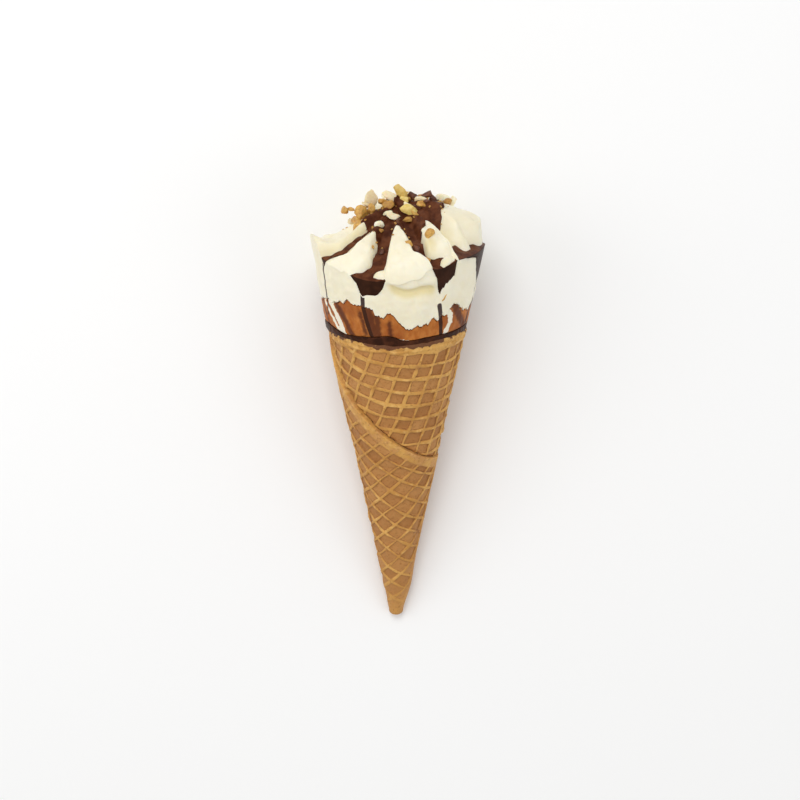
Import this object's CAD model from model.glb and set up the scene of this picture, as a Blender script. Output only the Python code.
# %% [markdown]
# # A filled waffle cone with a piped rosette, lying on a table
# The real thing is a sheet of wafer, baked between two engraved plates and rolled into a
# cone while hot. It is filled with vanilla ice cream, piped into eight lobes inside a paper
# sleeve, with chocolate sauce between the lobes and chopped nuts on the crown. The sleeve
# is gone, but its smooth cone shape is left on the ice cream.
#
# Everything is worked out along the cone's own axis first, in millimetres: Z runs up the
# axis from the point where the sides would meet, and azimuth 0 is the side that faces up.
# One function then lays every point down where the frame has the cone.

# %% Tools and the frame
import math
import random

import bpy
import bmesh
import numpy as np
from mathutils import Matrix, Vector


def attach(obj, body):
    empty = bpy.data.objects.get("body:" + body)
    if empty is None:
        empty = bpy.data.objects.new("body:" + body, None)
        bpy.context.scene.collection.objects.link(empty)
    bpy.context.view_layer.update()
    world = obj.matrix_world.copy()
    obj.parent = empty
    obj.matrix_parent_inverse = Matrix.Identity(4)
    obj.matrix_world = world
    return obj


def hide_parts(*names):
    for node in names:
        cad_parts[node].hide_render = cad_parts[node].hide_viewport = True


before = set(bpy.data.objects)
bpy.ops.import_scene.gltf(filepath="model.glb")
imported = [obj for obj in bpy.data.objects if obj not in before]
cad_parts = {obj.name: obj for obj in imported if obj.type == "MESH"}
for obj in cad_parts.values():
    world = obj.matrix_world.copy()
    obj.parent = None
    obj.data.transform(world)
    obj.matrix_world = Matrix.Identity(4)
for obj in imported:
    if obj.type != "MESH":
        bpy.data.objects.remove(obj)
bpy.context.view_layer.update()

# %% [markdown]
# ## The cone's measures
# These are the same driving sizes that the solids were made from. The place of the cone on
# the floor isn't typed in: the wafer's tip is the frame's point with the lowest y, and it
# lies on the axis, so it says where the axis is.

# %% Sizes in millimetres and degrees
RIM_RADIUS = 24.0
HALF_ANGLE = math.radians(11.67)
WALL = 2.2
TIP_RADIUS = 2.6
# The rounded tip's lowest point on the axis, counted from where the sides would meet
TIP_POLE = 10.4
# Clearance between neighbours, and how much of the underside lies pressed flat
GAP = 0.3
FLOOR_CUT = 0.35
SLOPE = math.tan(HALF_ANGLE)
RIM_Z = RIM_RADIUS / SLOPE
RIM_SLANT = RIM_RADIUS / math.sin(HALF_ANGLE)
TIP_SLANT = TIP_RADIUS / math.sin(HALF_ANGLE)

tip = min((v.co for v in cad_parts["waffle_cone"].data.vertices), key=lambda co: co.y)
MIDDLE_X = -1000.0 * tip.x
MIDDLE_Y = TIP_POLE * math.cos(HALF_ANGLE) - 1000.0 * tip.y
print("axis offset in mm:", round(MIDDLE_X, 3), round(MIDDLE_Y, 3))


def smooth(value):
    """Ease from 0 to 1: 3 t squared minus 2 t cubed, with t kept between 0 and 1."""
    t = np.clip(value, 0.0, 1.0)
    return t * t * (3.0 - 2.0 * t)


def polar(radius, azimuth, z):
    """Points at a radius and azimuth in degrees, with azimuth 0 toward -Y."""
    turn = np.radians(azimuth)
    radius, turn, z = np.broadcast_arrays(radius, turn, z)
    return np.stack((radius * np.sin(turn), -radius * np.cos(turn), z), axis=-1)


def turn_over(points):
    """Tip the axis down to the floor: y' = y sin a + z cos a, z' = z sin a - y cos a."""
    x, y, z = np.moveaxis(np.asarray(points, float), -1, 0)
    along = y * math.sin(HALF_ANGLE) + z * math.cos(HALF_ANGLE)
    above = z * math.sin(HALF_ANGLE) - y * math.cos(HALF_ANGLE)
    return np.stack((x, along, above), axis=-1)


def lay_down(points, clearance=0.0):
    """Local millimetres to metres on the floor; what would dip under it is pressed flat."""
    laid = turn_over(points)
    laid[..., 0] -= MIDDLE_X
    laid[..., 1] -= MIDDLE_Y
    laid[..., 2] = np.maximum(laid[..., 2] - FLOOR_CUT, clearance)
    return laid * 0.001


# %% [markdown]
# ## Camera
# The photo looks at the cone from 19 degrees above the square view of its axis, from about
# three quarters of a metre away. The camera is placed on the cone's own axes and laid down
# with the same turn as everything else. It is then turned by a few pixels' worth, so that
# the cone falls where it does in the photo's frame without any shift.

# %% The camera at the photo's angle
LOOK_ELEVATION = math.radians(18.91)
LOOK_DISTANCE = 768.0
LOOK_HEIGHT = 72.0
FOCAL_PIXELS = 2196.8
FRAME_PIXELS = 800.0
AIM_PIXEL = (396.1, 450.4)
SENSOR_WIDTH = 36.0


def make_camera():
    """Camera basis: back along the sight line, right along X, up square to both."""
    sight = np.array((0.0, -math.cos(LOOK_ELEVATION), math.sin(LOOK_ELEVATION)))
    back = turn_over(sight)
    up = turn_over((0.0, math.sin(LOOK_ELEVATION), math.cos(LOOK_ELEVATION)))
    right = np.array((1.0, 0.0, 0.0))
    eye = turn_over(np.array((0.0, 0.0, LOOK_HEIGHT)) + LOOK_DISTANCE * sight)
    eye = (eye - np.array((MIDDLE_X, MIDDLE_Y, FLOOR_CUT))) * 0.001
    sideways = (FRAME_PIXELS / 2.0 - AIM_PIXEL[0]) / FOCAL_PIXELS
    upward = (AIM_PIXEL[1] - FRAME_PIXELS / 2.0) / FOCAL_PIXELS
    forward = -back + right * sideways + up * upward
    forward = forward / np.linalg.norm(forward)
    right = np.cross(forward, up)
    right = right / np.linalg.norm(right)
    up = np.cross(right, forward)
    camera = bpy.data.cameras.new("camera")
    camera.sensor_width = SENSOR_WIDTH
    camera.lens = SENSOR_WIDTH * FOCAL_PIXELS / FRAME_PIXELS
    camera.clip_start = 0.01
    holder = bpy.data.objects.new("camera", camera)
    bpy.context.scene.collection.objects.link(holder)
    turn = Matrix((right, up, -forward)).transposed().to_4x4()
    turn.translation = Vector(eye)
    holder.matrix_world = turn
    bpy.context.scene.camera = holder
    return holder


camera_object = make_camera()
print("camera at", [round(v, 3) for v in camera_object.matrix_world.translation])

# %% [markdown]
# ## Floor and light
# A white sweep and three soft boxes, as in a packshot: a big one over the crown, a wide one
# at the left, and a weak one at the right. Large lamps give the cream its soft folds, and
# the chocolate its broad dull glints.

# %% Floor, world and lamps
FLOOR_HALF = 1.6


def make_floor():
    """White square at height 0, FLOOR_HALF metres to each side, that only sets the scene."""
    half = FLOOR_HALF
    corners = [(-half, -half, 0.0), (half, -half, 0.0), (half, half, 0.0), (-half, half, 0.0)]
    mesh = bpy.data.meshes.new("floor")
    mesh.from_pydata(corners, [], [(0, 1, 2, 3)])
    floor = bpy.data.objects.new("floor", mesh)
    bpy.context.scene.collection.objects.link(floor)
    mat = bpy.data.materials.new("floor_white")
    mat.use_nodes = True
    shader = mat.node_tree.nodes["Principled BSDF"]
    shader.inputs["Base Color"].default_value = (0.97, 0.97, 0.965, 1.0)
    shader.inputs["Roughness"].default_value = 0.9
    mesh.materials.append(mat)


def add_lamp(name, place, aim, size, power):
    """Square area lamp that faces its aim, in metres and watts."""
    lamp = bpy.data.lights.new(name, "AREA")
    lamp.shape = "SQUARE"
    lamp.size = size
    lamp.energy = power
    holder = bpy.data.objects.new(name, lamp)
    bpy.context.scene.collection.objects.link(holder)
    holder.location = place
    direction = Vector(aim) - Vector(place)
    holder.rotation_euler = direction.to_track_quat("-Z", "Y").to_euler()


def make_light():
    """A dim white sky and the three soft boxes, each turned to the cone's upper half."""
    world = bpy.data.worlds.new("studio")
    world.use_nodes = True
    sky = world.node_tree.nodes["Background"]
    sky.inputs["Color"].default_value = (1.0, 1.0, 1.0, 1.0)
    sky.inputs["Strength"].default_value = 0.6
    bpy.context.scene.world = world
    add_lamp("crown_box", (-0.15, 0.50, 0.85), (0.0, 0.03, 0.03), 0.5, 3.3)
    add_lamp("left_box", (-0.75, 0.10, 0.55), (0.0, 0.0, 0.02), 0.5, 1.3)
    add_lamp("right_box", (0.70, -0.25, 0.60), (0.0, 0.0, 0.02), 0.5, 0.9)


make_floor()
make_light()
bpy.context.scene.view_settings.view_transform = "Standard"
for lamp in bpy.data.lights:
    print("lamp", lamp.name, "with", round(lamp.energy, 2), "W over", round(lamp.size, 2), "m")

# %% [markdown]
# ## Helpers for surfaces
# Each piece is a grid of points worked out as whole arrays. `grid_faces` joins a grid's
# points into quads, and `put_mesh` places the result. `ripple` is a smooth random field: a
# sum of many plane waves of about one wavelength. It makes the small unevenness of food.

# %% Grids, meshes and a smooth random field


def grid_faces(rows, cols, start=0, closed=False, flip=False):
    """Quads of a grid of rows by cols points, wrapped round in the columns if closed."""
    index = np.arange(rows * cols).reshape(rows, cols) + start
    if closed:
        index = np.concatenate((index, index[:, :1]), axis=1)
    quads = np.stack((index[:-1, :-1], index[:-1, 1:], index[1:, 1:], index[1:, :-1]), axis=-1)
    quads = quads.reshape(-1, 4)
    return quads[:, ::-1] if flip else quads


def put_mesh(name, points, faces, paints=None, weld=0.0, sharp=55.0):
    """Object at the origin from points in metres and faces of any size, with its paints:
    named numbers kept at each point for the material to read."""
    mesh = bpy.data.meshes.new(name)
    mesh.from_pydata(np.asarray(points).reshape(-1, 3).tolist(), [], faces)
    for paint, values in (paints or {}).items():
        layer = mesh.attributes.new(paint, "FLOAT", "POINT")
        layer.data.foreach_set("value", np.asarray(values, np.float32).ravel())
    if weld:
        worker = bmesh.new()
        worker.from_mesh(mesh)
        bmesh.ops.remove_doubles(worker, verts=worker.verts, dist=weld)
        bmesh.ops.recalc_face_normals(worker, faces=worker.faces)
        worker.to_mesh(mesh)
        worker.free()
    mesh.polygons.foreach_set("use_smooth", np.ones(len(mesh.polygons), bool))
    mesh.set_sharp_from_angle(angle=math.radians(sharp))
    piece = bpy.data.objects.new(name, mesh)
    bpy.context.scene.collection.objects.link(piece)
    mesh.calc_loop_triangles()
    spots = np.array([v.co for v in mesh.vertices]) * 1000.0
    print(name, "has", len(mesh.loop_triangles), "triangles, from",
          np.round(spots.min(axis=0), 1), "to", np.round(spots.max(axis=0), 1), "mm")
    return piece


def ripple(points, wavelength, seed, waves=26):
    """Smooth random field of about unit size: the mean of plane waves with random
    directions and phases, and wavelengths within a third of the one given."""
    draw = np.random.default_rng(seed)
    flat = np.asarray(points, float).reshape(-1, 3)
    total = np.zeros(len(flat))
    for _ in range(waves):
        way = draw.normal(size=3)
        way /= np.linalg.norm(way)
        number = 2.0 * math.pi / (wavelength * draw.uniform(0.75, 1.35))
        total += np.cos(flat @ (way * number) + draw.uniform(0.0, 2.0 * math.pi))
    return (total * math.sqrt(2.0 / waves)).reshape(np.asarray(points).shape[:-1])


def finish_piece(piece, mat, slot, *nodes):
    """Give a piece its material, its body, its slot and the nodes that it stands for."""
    piece.data.materials.append(mat)
    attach(piece, "root")
    if nodes:
        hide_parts(*nodes)
    return piece


# %% [markdown]
# ## Helpers for materials
# A material here is a small graph that reads Object coordinates or a named paint. These
# helpers keep each one short: a noise, a blend of two colours, and a bump.

# %% Small building blocks for material graphs


class Finish:
    """A material under construction, with its shader ready."""

    def __init__(self, name, roughness):
        """Start a material of one roughness, and keep the sockets that the others need."""
        self.mat = bpy.data.materials.new(name)
        self.mat.use_nodes = True
        self.tree = self.mat.node_tree
        self.shader = self.tree.nodes["Principled BSDF"]
        self.shader.inputs["Roughness"].default_value = roughness
        self.place = self.tree.nodes.new("ShaderNodeTexCoord").outputs["Object"]

    def noise(self, size_mm, detail=4.0, stretch=(1.0, 1.0, 1.0)):
        """Noise with a grain of about the given size, from 0 to 1. A stretch below 1 draws
        the grain out along that axis."""
        mapping = self.tree.nodes.new("ShaderNodeMapping")
        mapping.inputs["Scale"].default_value = stretch
        self.tree.links.new(self.place, mapping.inputs["Vector"])
        node = self.tree.nodes.new("ShaderNodeTexNoise")
        node.inputs["Scale"].default_value = 1000.0 / size_mm
        node.inputs["Detail"].default_value = detail
        node.inputs["Roughness"].default_value = 0.55
        self.tree.links.new(mapping.outputs["Vector"], node.inputs["Vector"])
        return node.outputs["Fac"]

    def paint(self, name):
        """The named number that each point of the mesh carries."""
        node = self.tree.nodes.new("ShaderNodeAttribute")
        node.attribute_name = name
        return node.outputs["Fac"]

    def step(self, source, low, high):
        """0 below low, 1 above high, eased between them."""
        node = self.tree.nodes.new("ShaderNodeMapRange")
        node.interpolation_type = "SMOOTHSTEP"
        node.inputs["From Min"].default_value = low
        node.inputs["From Max"].default_value = high
        self.tree.links.new(source, node.inputs["Value"])
        return node.outputs["Result"]

    def math(self, kind, one, two):
        """One sum or product of two sources, or of a source and a plain number."""
        node = self.tree.nodes.new("ShaderNodeMath")
        node.operation = kind
        for socket, value in zip(node.inputs, (one, two)):
            if isinstance(value, (int, float)):
                socket.default_value = value
            else:
                self.tree.links.new(value, socket)
        return node.outputs["Value"]

    def blend(self, share, one, two):
        """Colour one where share is 0 and colour two where it is 1."""
        node = self.tree.nodes.new("ShaderNodeMix")
        node.data_type = "RGBA"
        self.tree.links.new(share, node.inputs["Factor"])
        for socket, value in ((node.inputs[6], one), (node.inputs[7], two)):
            if isinstance(value, tuple):
                socket.default_value = (*value, 1.0)
            else:
                self.tree.links.new(value, socket)
        return node.outputs[2]

    def colour(self, source):
        """Use the source as the surface's colour."""
        self.tree.links.new(source, self.shader.inputs["Base Color"])

    def rough(self, source, low, high):
        """Roughness that runs from low to high with the source."""
        node = self.tree.nodes.new("ShaderNodeMapRange")
        node.inputs["To Min"].default_value = low
        node.inputs["To Max"].default_value = high
        self.tree.links.new(source, node.inputs["Value"])
        self.tree.links.new(node.outputs["Result"], self.shader.inputs["Roughness"])

    def bump(self, source, height_mm, before=None):
        """Shade as if the source stood up by a height in mm, on top of an earlier bump."""
        node = self.tree.nodes.new("ShaderNodeBump")
        node.inputs["Strength"].default_value = 1.0
        node.inputs["Distance"].default_value = height_mm * 0.001
        self.tree.links.new(source, node.inputs["Height"])
        if before is not None:
            self.tree.links.new(before, node.inputs["Normal"])
        self.tree.links.new(node.outputs["Normal"], self.shader.inputs["Normal"])
        return node.outputs["Normal"]

    def under_skin(self, weight, reach_mm, tint):
        """Light that goes a little way in, as in cream and nuts."""
        self.shader.inputs["Subsurface Weight"].default_value = weight
        self.shader.inputs["Subsurface Radius"].default_value = tint
        self.shader.inputs["Subsurface Scale"].default_value = reach_mm * 0.001


def srgb(red, green, blue):
    """Screen colour from 0 to 255 as the linear colour that a shader takes."""
    values = []
    for level in (red, green, blue):
        share = level / 255.0
        values.append(share / 12.92 if share < 0.04045 else ((share + 0.055) / 1.055) ** 2.4)
    return tuple(values)


print("screen grey 128 is", round(srgb(128, 128, 128)[0], 3), "for a shader")

# %% [markdown]
# ## The rolled sheet
# A baked sheet is flat, and rolling bends it without stretching it. So the waffle pattern
# is laid out on the flat sheet, as two families of straight ribs, and each point of the
# cone looks up its place there: the slant height stays, and the azimuth shrinks by the
# sine of the half angle. The outer turn has run once more round the cone, so its ribs cross
# the older ones at a slant. Its edge winds down from the rim and then follows the side.

# %% Edge of the lap, and its step
# Height of the step, the degrees over which it fades, and the plain strip along the edge
LAP_STEP = 1.1
LAP_FADE = 150.0
LAP_MARGIN = 2.7
# Power that bends the edge's line, and the ends of that line
LAP_CURVE = 2.15
SEAM_LOW_AZIMUTH = 95.0
SEAM_RIM_AZIMUTH = -105.0
SEAM_LOW_SLANT = 72.0
# Stands for a distance that is too great to matter, in mm
FAR = 400.0


def seam_azimuth(slant):
    """Azimuth of the lap's edge: it falls with about the square root of the slant height."""
    rise = np.clip((slant - SEAM_LOW_SLANT) / (RIM_SLANT - SEAM_LOW_SLANT), 0, None)
    share = rise ** (1.0 / LAP_CURVE)
    return SEAM_LOW_AZIMUTH + (SEAM_RIM_AZIMUTH - SEAM_LOW_AZIMUTH) * share


def seam_slant(azimuth):
    """Slant height of the lap's edge: the same line read the other way."""
    share = (azimuth - SEAM_LOW_AZIMUTH) / (SEAM_RIM_AZIMUTH - SEAM_LOW_AZIMUTH)
    return SEAM_LOW_SLANT + (RIM_SLANT - SEAM_LOW_SLANT) * np.clip(share, 0.0, 1.0) ** LAP_CURVE


def lap_height(slant, azimuth):
    """Stand-off of the sheet: one step at the lap's edge, which fades out behind it."""
    behind = np.clip(seam_azimuth(slant) - azimuth, 0.0, 360.0)
    taper = smooth((slant - TIP_SLANT) / 12.0)
    return LAP_STEP * (1.0 - smooth(behind / LAP_FADE)) * taper


def press_in(slant, azimuth, on_lap):
    """How far hands and sleeve have pressed the roll in: the left side toward the rim, and
    the lap where it lies along the right side."""
    left = np.exp(-((azimuth + 92.0) / 48.0) ** 2) * smooth((slant - 30.0) / 95.0)
    right = smooth((azimuth - 30.0) / 40.0) * smooth((slant - 16.0) / 20.0)
    return 1.1 * left + (0.85 * right if on_lap else 0.0)


# Measured on the front, and carried on behind: azimuth and millimetres
RIM_WAVE = ((-95, 0.6), (-80, 1.0), (-53, 1.5), (-38, 1.2), (-20, 0.7), (0, 0.4), (15, 0.9),
            (37, 1.5), (62, 1.5), (79, 0.8), (110, 0.4), (150, 0.6), (210, 0.4))
STAIN_DEPTH = ((-95, 0.6), (-75, 1.1), (-52, 0.8), (-44, 0.2), (-30, 0.0), (-23, 1.2), (-10, 1.5),
               (-6, 2.3), (-3, 1.0), (8, 1.3), (21, 1.6), (31, 0.8), (38, -0.2), (60, -0.2),
               (80, 0.6), (120, 0.8), (160, 0.3), (220, 0.9))


def around_cone(azimuth, table):
    """Straight lines between the azimuths of a table, carried on round the cone."""
    places, heights = np.array(table, float).T
    return np.interp(azimuth, places, heights, period=360.0)


def rim_line(azimuth):
    """How far the rim stands above its plane: a low wave."""
    return around_cone(azimuth, RIM_WAVE)


def edge_distance(slant, azimuth):
    """Distance in mm from the lap's edge, joined from the ways across and along."""
    arc = np.radians(seam_azimuth(slant) - azimuth) * slant * math.sin(HALF_ANGLE)
    rise = np.where(azimuth < SEAM_RIM_AZIMUTH, FAR, seam_slant(azimuth) - slant)
    arc = np.maximum(arc, 1e-3)
    rise = np.maximum(rise, 1e-3)
    return arc * rise / np.sqrt(arc ** 2 + rise ** 2)


seam_marks = np.array((-60.0, 0.0, 60.0))
print("slant height of the lap's edge at azimuths", seam_marks, "is",
      np.round(seam_slant(seam_marks), 1), "mm")

# %% [markdown]
# ## Ribs and pockets
# The plates' straight grooves press two families of ribs into the sheet, and the squares
# between them are pockets. No two pockets come out alike, so the ribs sway a little, and
# each pocket has a depth of its own. The tip is squeezed hardest when the sheet is rolled,
# so the relief is weaker there.

# %% Ribs and pockets
POCKET_DEPTH = 0.72
# Width in mm of the slope beside a rib, and of the plain strip at the rim
RIB_SLOPE = 0.60
RIM_PLAIN = 2.3
# Two families for each turn: pitch in mm, direction in degrees, phase, half width in mm
ROLL_RIBS = ((5.63, 20.7, 7.69, 0.20), (4.97, 97.1, 22.27, 0.34))
LAP_RIBS = ((5.26, 44.4, 12.60, 0.16), (5.40, 120.9, 11.80, 0.18))


def cone_points(slant, azimuth, lift):
    """Points of the sheet, lifted square to the cone's side."""
    radius = slant * math.sin(HALF_ANGLE) + lift * math.cos(HALF_ANGLE)
    z = slant * math.cos(HALF_ANGLE) - lift * math.sin(HALF_ANGLE)
    return polar(radius, azimuth, z)


def waffle_relief(slant, azimuth, ribs, plain, seed):
    """Pockets between two families of ribs on the flat sheet. A rib is level near its line
    and eases down beside it; the higher of the two ribs wins. plain is the share of the lift
    that is kept. Returns the lift, how much of a rib each point would be at full relief, and
    a random number from 0 to 1 per pocket."""
    turn = np.radians(azimuth) * math.sin(HALF_ANGLE)
    x = slant * np.cos(turn)
    y = slant * np.sin(turn)
    flat = np.stack((x, y, np.zeros_like(x)), axis=-1)
    bend = (0.20 * ripple(flat, 13.0, seed), 0.20 * ripple(flat, 12.0, seed + 1))
    worn = 0.5 + 0.5 * ripple(flat, 9.0, seed + 2)
    heights = []
    cells = []
    for (pitch, run, phase, width), sway in zip(ribs, bend):
        way = math.radians(run)
        count = (-math.sin(way) * x + math.cos(way) * y + sway) / pitch + phase
        off = np.abs(count - np.round(count)) * pitch
        half = width + 0.20 * (worn - 0.25)
        heights.append(1.0 - smooth((off - half) / RIB_SLOPE))
        cells.append(np.floor(count))
    rib = np.maximum(heights[0], heights[1])
    crossing = heights[0] * heights[1]
    rib = rib * (0.88 + 0.16 * ripple(flat, 5.0, seed + 5))
    # The fraction of a large sine looks random, and is one number over a whole pocket
    cell = np.sin(cells[0] * 12.9898 + cells[1] * 78.233 + seed) * 43758.5453
    cell = cell - np.floor(cell)
    floor_height = -POCKET_DEPTH * (0.72 + 0.42 * cell) + 0.07 * ripple(flat, 3.1, seed + 3)
    lift = floor_height * (1.0 - rib) + 0.06 * crossing + 0.05 * ripple(flat, 2.4, seed + 4) * rib
    return lift * plain, rib, cell


def relief_share(slant, azimuth, on_lap):
    """Share of the full relief: none at the rim and the very tip, under half near the tip,
    and little on the plain strip along the lap's edge."""
    wave = 0.5 * np.sin(np.radians(azimuth * 5.0)) + 0.3 * np.sin(np.radians(azimuth * 11.0))
    share = smooth(RIM_SLANT - RIM_PLAIN - 0.6 * wave - slant)
    share = share * smooth((slant - 11.0) / 9.0) * (0.40 + 0.60 * smooth((slant - 20.0) / 26.0))
    if on_lap:
        share = share * (0.12 + 0.88 * smooth((edge_distance(slant, azimuth) - LAP_MARGIN) / 1.1))
    return share


sample_slant, sample_azimuth = np.meshgrid(np.linspace(60.0, 110.0, 200),
                                           np.linspace(-40.0, 40.0, 200))
sample_lift, sample_rib = waffle_relief(sample_slant, sample_azimuth, LAP_RIBS, 1.0, 11)[:2]
print("relief on the front: from", round(float(sample_lift.min()), 2), "to",
      round(float(sample_lift.max()), 2), "mm, and", round(100.0 * float(sample_rib.mean())),
      "% of it is rib")

# %% [markdown]
# ## Closed skins
# The wafer is three patches: the outer turn, the older turn above its edge, and the older
# turn down the right side. Each is a fine grid on the outside, with a few rows that turn
# over its edges, and a coarse return on the inside that closes it into a solid.

# %% A closed patch from a fine outside and a coarse inside


def closed_patch(name, outer, inner, paints, weld=0.00001):
    """Close a grid of rows by cols outer points with a grid of rows by few inner points.
    Sides are quads. The end walls are polygons from a stretch of outer points to one inner
    edge, and lie inside the wafer."""
    rows, cols = outer.shape[:2]
    few = inner.shape[1]
    start = rows * cols
    faces = grid_faces(rows, cols).tolist()
    faces += grid_faces(rows, few, start, flip=True).tolist()
    left = np.arange(rows) * cols
    right = left + cols - 1
    inner_left = start + np.arange(rows) * few
    inner_right = inner_left + few - 1
    sides = np.stack((left[:-1], left[1:], inner_left[1:], inner_left[:-1]), axis=-1)
    faces += sides.tolist()
    sides = np.stack((right[1:], right[:-1], inner_right[:-1], inner_right[1:]), axis=-1)
    faces += sides.tolist()
    marks = np.round(np.linspace(0, cols - 1, few)).astype(int)
    for row, reverse in ((0, False), (rows - 1, True)):
        for k in range(few - 1):
            fine = list(range(row * cols + marks[k], row * cols + marks[k + 1] + 1))
            coarse = [start + row * few + k + 1, start + row * few + k]
            wall = fine + coarse
            faces.append(wall[::-1] if reverse else wall)
    points = np.concatenate((outer.reshape(-1, 3), inner.reshape(-1, 3)))
    full = {}
    for paint, values in paints.items():
        full[paint] = np.concatenate((values.ravel(), values[:, marks].ravel()))
    return put_mesh(name, lay_down(points), faces, full, weld)


print("262 rows of 316 points are joined by", len(grid_faces(262, 316)), "quads")

# %% [markdown]
# ## One patch of the wafer
# Everything that the sheet does is added up as one lift off the cone's side: relief, the
# lap's step, the ridges at the rim, and the places where it was pressed in. What the
# material has to know is kept beside it as paints.

# %% A patch between two slant heights
# Rows that turn over an edge: step along the sheet, and drop, in mm
EDGE_ROUND = ((0.0, 0.0), (0.16, 0.05), (0.27, 0.18), (0.33, 0.42), (0.34, 0.8),
              (0.34, 1.3), (0.34, 1.9))
# Rows from the pole to the tip's first row: share of its radius, and height in mm
TIP_ROUND = ((0.0, 0.0), (0.35, 0.03), (0.66, 0.2), (0.88, 0.7), (0.97, 1.4))
# Those heights are for a tip that is this tall
TIP_ROUND_HEIGHT = 2.2
# Two fine ridges below the rim: height, distance below the rim, and width, in mm
RIM_RIDGES = ((0.30, 0.6, 0.35), (0.28, 2.0, 0.30))
# Share of the measured depth that the stain covers fully
STAIN_COVER = 0.62
INNER_COLUMNS = 14
LAP_ROWS = 262


def patch_rows(low, high, count):
    """Slant heights from low to high for each azimuth, as rows, then the edge's rows; and
    how far each row drops below the sheet's face."""
    share = np.linspace(0.0, 1.0, count)[:, None]
    body = low + share * (high - low)
    drops = np.zeros_like(body)
    edge = np.array(EDGE_ROUND)[1:]
    over = high + edge[:, :1]
    fall = np.repeat(edge[:, 1:], body.shape[1], axis=1)
    return np.concatenate((body, over)), np.concatenate((drops, fall))


def make_skin(name, azimuths, low, high, count, ribs, on_lap, seed, side_edge=False):
    """One patch of the wafer between two slant heights. side_edge adds columns that turn
    over the lap's straight edge, and a low end at the tip is closed with a round nose."""
    slant, drop = patch_rows(low[None, :], high[None, :], count)
    azimuth = np.repeat(azimuths[None, :], len(slant), axis=0)
    # Columns over the straight edge
    if side_edge:
        edge = np.array(EDGE_ROUND)[1:]
        past = np.degrees(edge[None, :, 0] / (slant[:, -1:] * math.sin(HALF_ANGLE)))
        azimuth = np.concatenate((azimuth, azimuth[:, -1:] + past), axis=1)
        slant = np.concatenate((slant, np.repeat(slant[:, -1:], len(edge), axis=1)), axis=1)
        extra = np.maximum(drop[:, -1:], edge[None, :, 1])
        drop = np.concatenate((drop, extra), axis=1)
    # Relief, and what the material reads of it
    inside_edge = np.minimum(azimuth, SEAM_LOW_AZIMUTH)
    plain = relief_share(slant, inside_edge, on_lap)
    lift, rib, cell = waffle_relief(slant, azimuth, ribs, plain, seed)
    rest = (1.0 - plain) * (0.58 + 0.42 * smooth((slant - 22.0) / 26.0))
    strip = np.zeros_like(slant)
    gap = np.zeros_like(slant)
    # The lap has its step and its plain strip, and the older turn a dark gap at the lap's
    # edge. Each patch dips under its neighbour where the two overlap.
    if on_lap:
        strip = smooth((LAP_MARGIN + 0.6 - edge_distance(slant, inside_edge)) / 0.5)
        lift = lift + lap_height(slant, inside_edge)
        buried = smooth((-181.0 - azimuth) / 8.0)
    else:
        above = slant - np.where(azimuth > SEAM_LOW_AZIMUTH, -FAR, seam_slant(azimuth))
        lift = lift - 0.6 * np.exp(-((above - 0.5) / 0.45) ** 2)
        gap = smooth((1.0 - above) / 0.7)
        buried = smooth((SEAM_RIM_AZIMUTH - 4.0 - azimuth) / 8.0)
        buried = buried + smooth((azimuth - 179.0) / 8.0)
    # The rim's wave, its stain and its two ridges
    rim = rim_line(azimuth) - 0.15 + 0.10 * ripple(polar(RIM_RADIUS, azimuth, 0.0), 4.0, 5)
    near_rim = smooth((slant - RIM_SLANT + 6.0) / 6.0)
    below_rim = RIM_SLANT - slant
    spots = polar(RIM_RADIUS, azimuth, below_rim)
    stain = STAIN_COVER * around_cone(azimuth, STAIN_DEPTH) - below_rim
    stain = stain + 0.4 * ripple(spots, 2.6, 6)
    ridges = sum(tall * np.exp(-((below_rim - place) / width) ** 2)
                 for tall, place, width in RIM_RIDGES)
    lift = lift + ridges - press_in(slant, inside_edge, on_lap)
    # Outside and inside as points, and a nose where the patch reaches the tip
    outer = cone_points(slant + rim * near_rim, azimuth, lift - drop - 1.2 * buried)
    few = np.linspace(0, azimuth.shape[1] - 1, INNER_COLUMNS).round().astype(int)
    depth = np.minimum(WALL - 0.15, 0.75 * slant[:, few] * math.sin(HALF_ANGLE))
    inner = cone_points(slant[:, few], azimuth[:, few], -depth)
    paints = (rib, plain, rest, cell, stain, strip, gap)
    if low.min() <= TIP_SLANT + 0.01:
        outer, inner, paints = add_nose(outer, inner, azimuth, paints)
    names = ("rib", "relief", "rest", "cell", "stain", "strip", "gap")
    return closed_patch(name, outer, inner, dict(zip(names, paints)))


def add_nose(outer, inner, azimuth, paints):
    """Rows from the pole to the first row: a radius and a height that round the tip."""
    first_z = TIP_SLANT * math.cos(HALF_ANGLE)
    nose = np.array(TIP_ROUND)
    radius = nose[:, :1] * TIP_RADIUS
    z = TIP_POLE + nose[:, 1:] * (first_z - TIP_POLE) / TIP_ROUND_HEIGHT
    rows = polar(radius, azimuth[:1], z)
    few = inner.shape[1]
    core = polar(np.zeros((len(nose), 1)), np.zeros((1, few)), TIP_POLE + 2.0)
    grown = [np.concatenate((np.repeat(paint[:1], len(nose), axis=0), paint)) for paint in paints]
    return np.concatenate((rows, outer)), np.concatenate((core, inner)), grown


sample_rows, sample_drops = patch_rows(
    np.array([[TIP_SLANT]]), np.array([[RIM_SLANT]]), LAP_ROWS)
print("a column of the lap has", len(sample_rows), "rows, and its edge drops",
      round(float(sample_drops.max()), 2), "mm")

# %% [markdown]
# ## Wafer finish
# Baked batter is a warm tan. The ribs are thicker and catch the light, the thin pocket
# floors are browner, and the edge of a pocket is the darkest, where the plate scorched it.
# Small bubbles and crumbs give it a fine grain. Chocolate has stained the rim in patches.

# %% Wafer material


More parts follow.
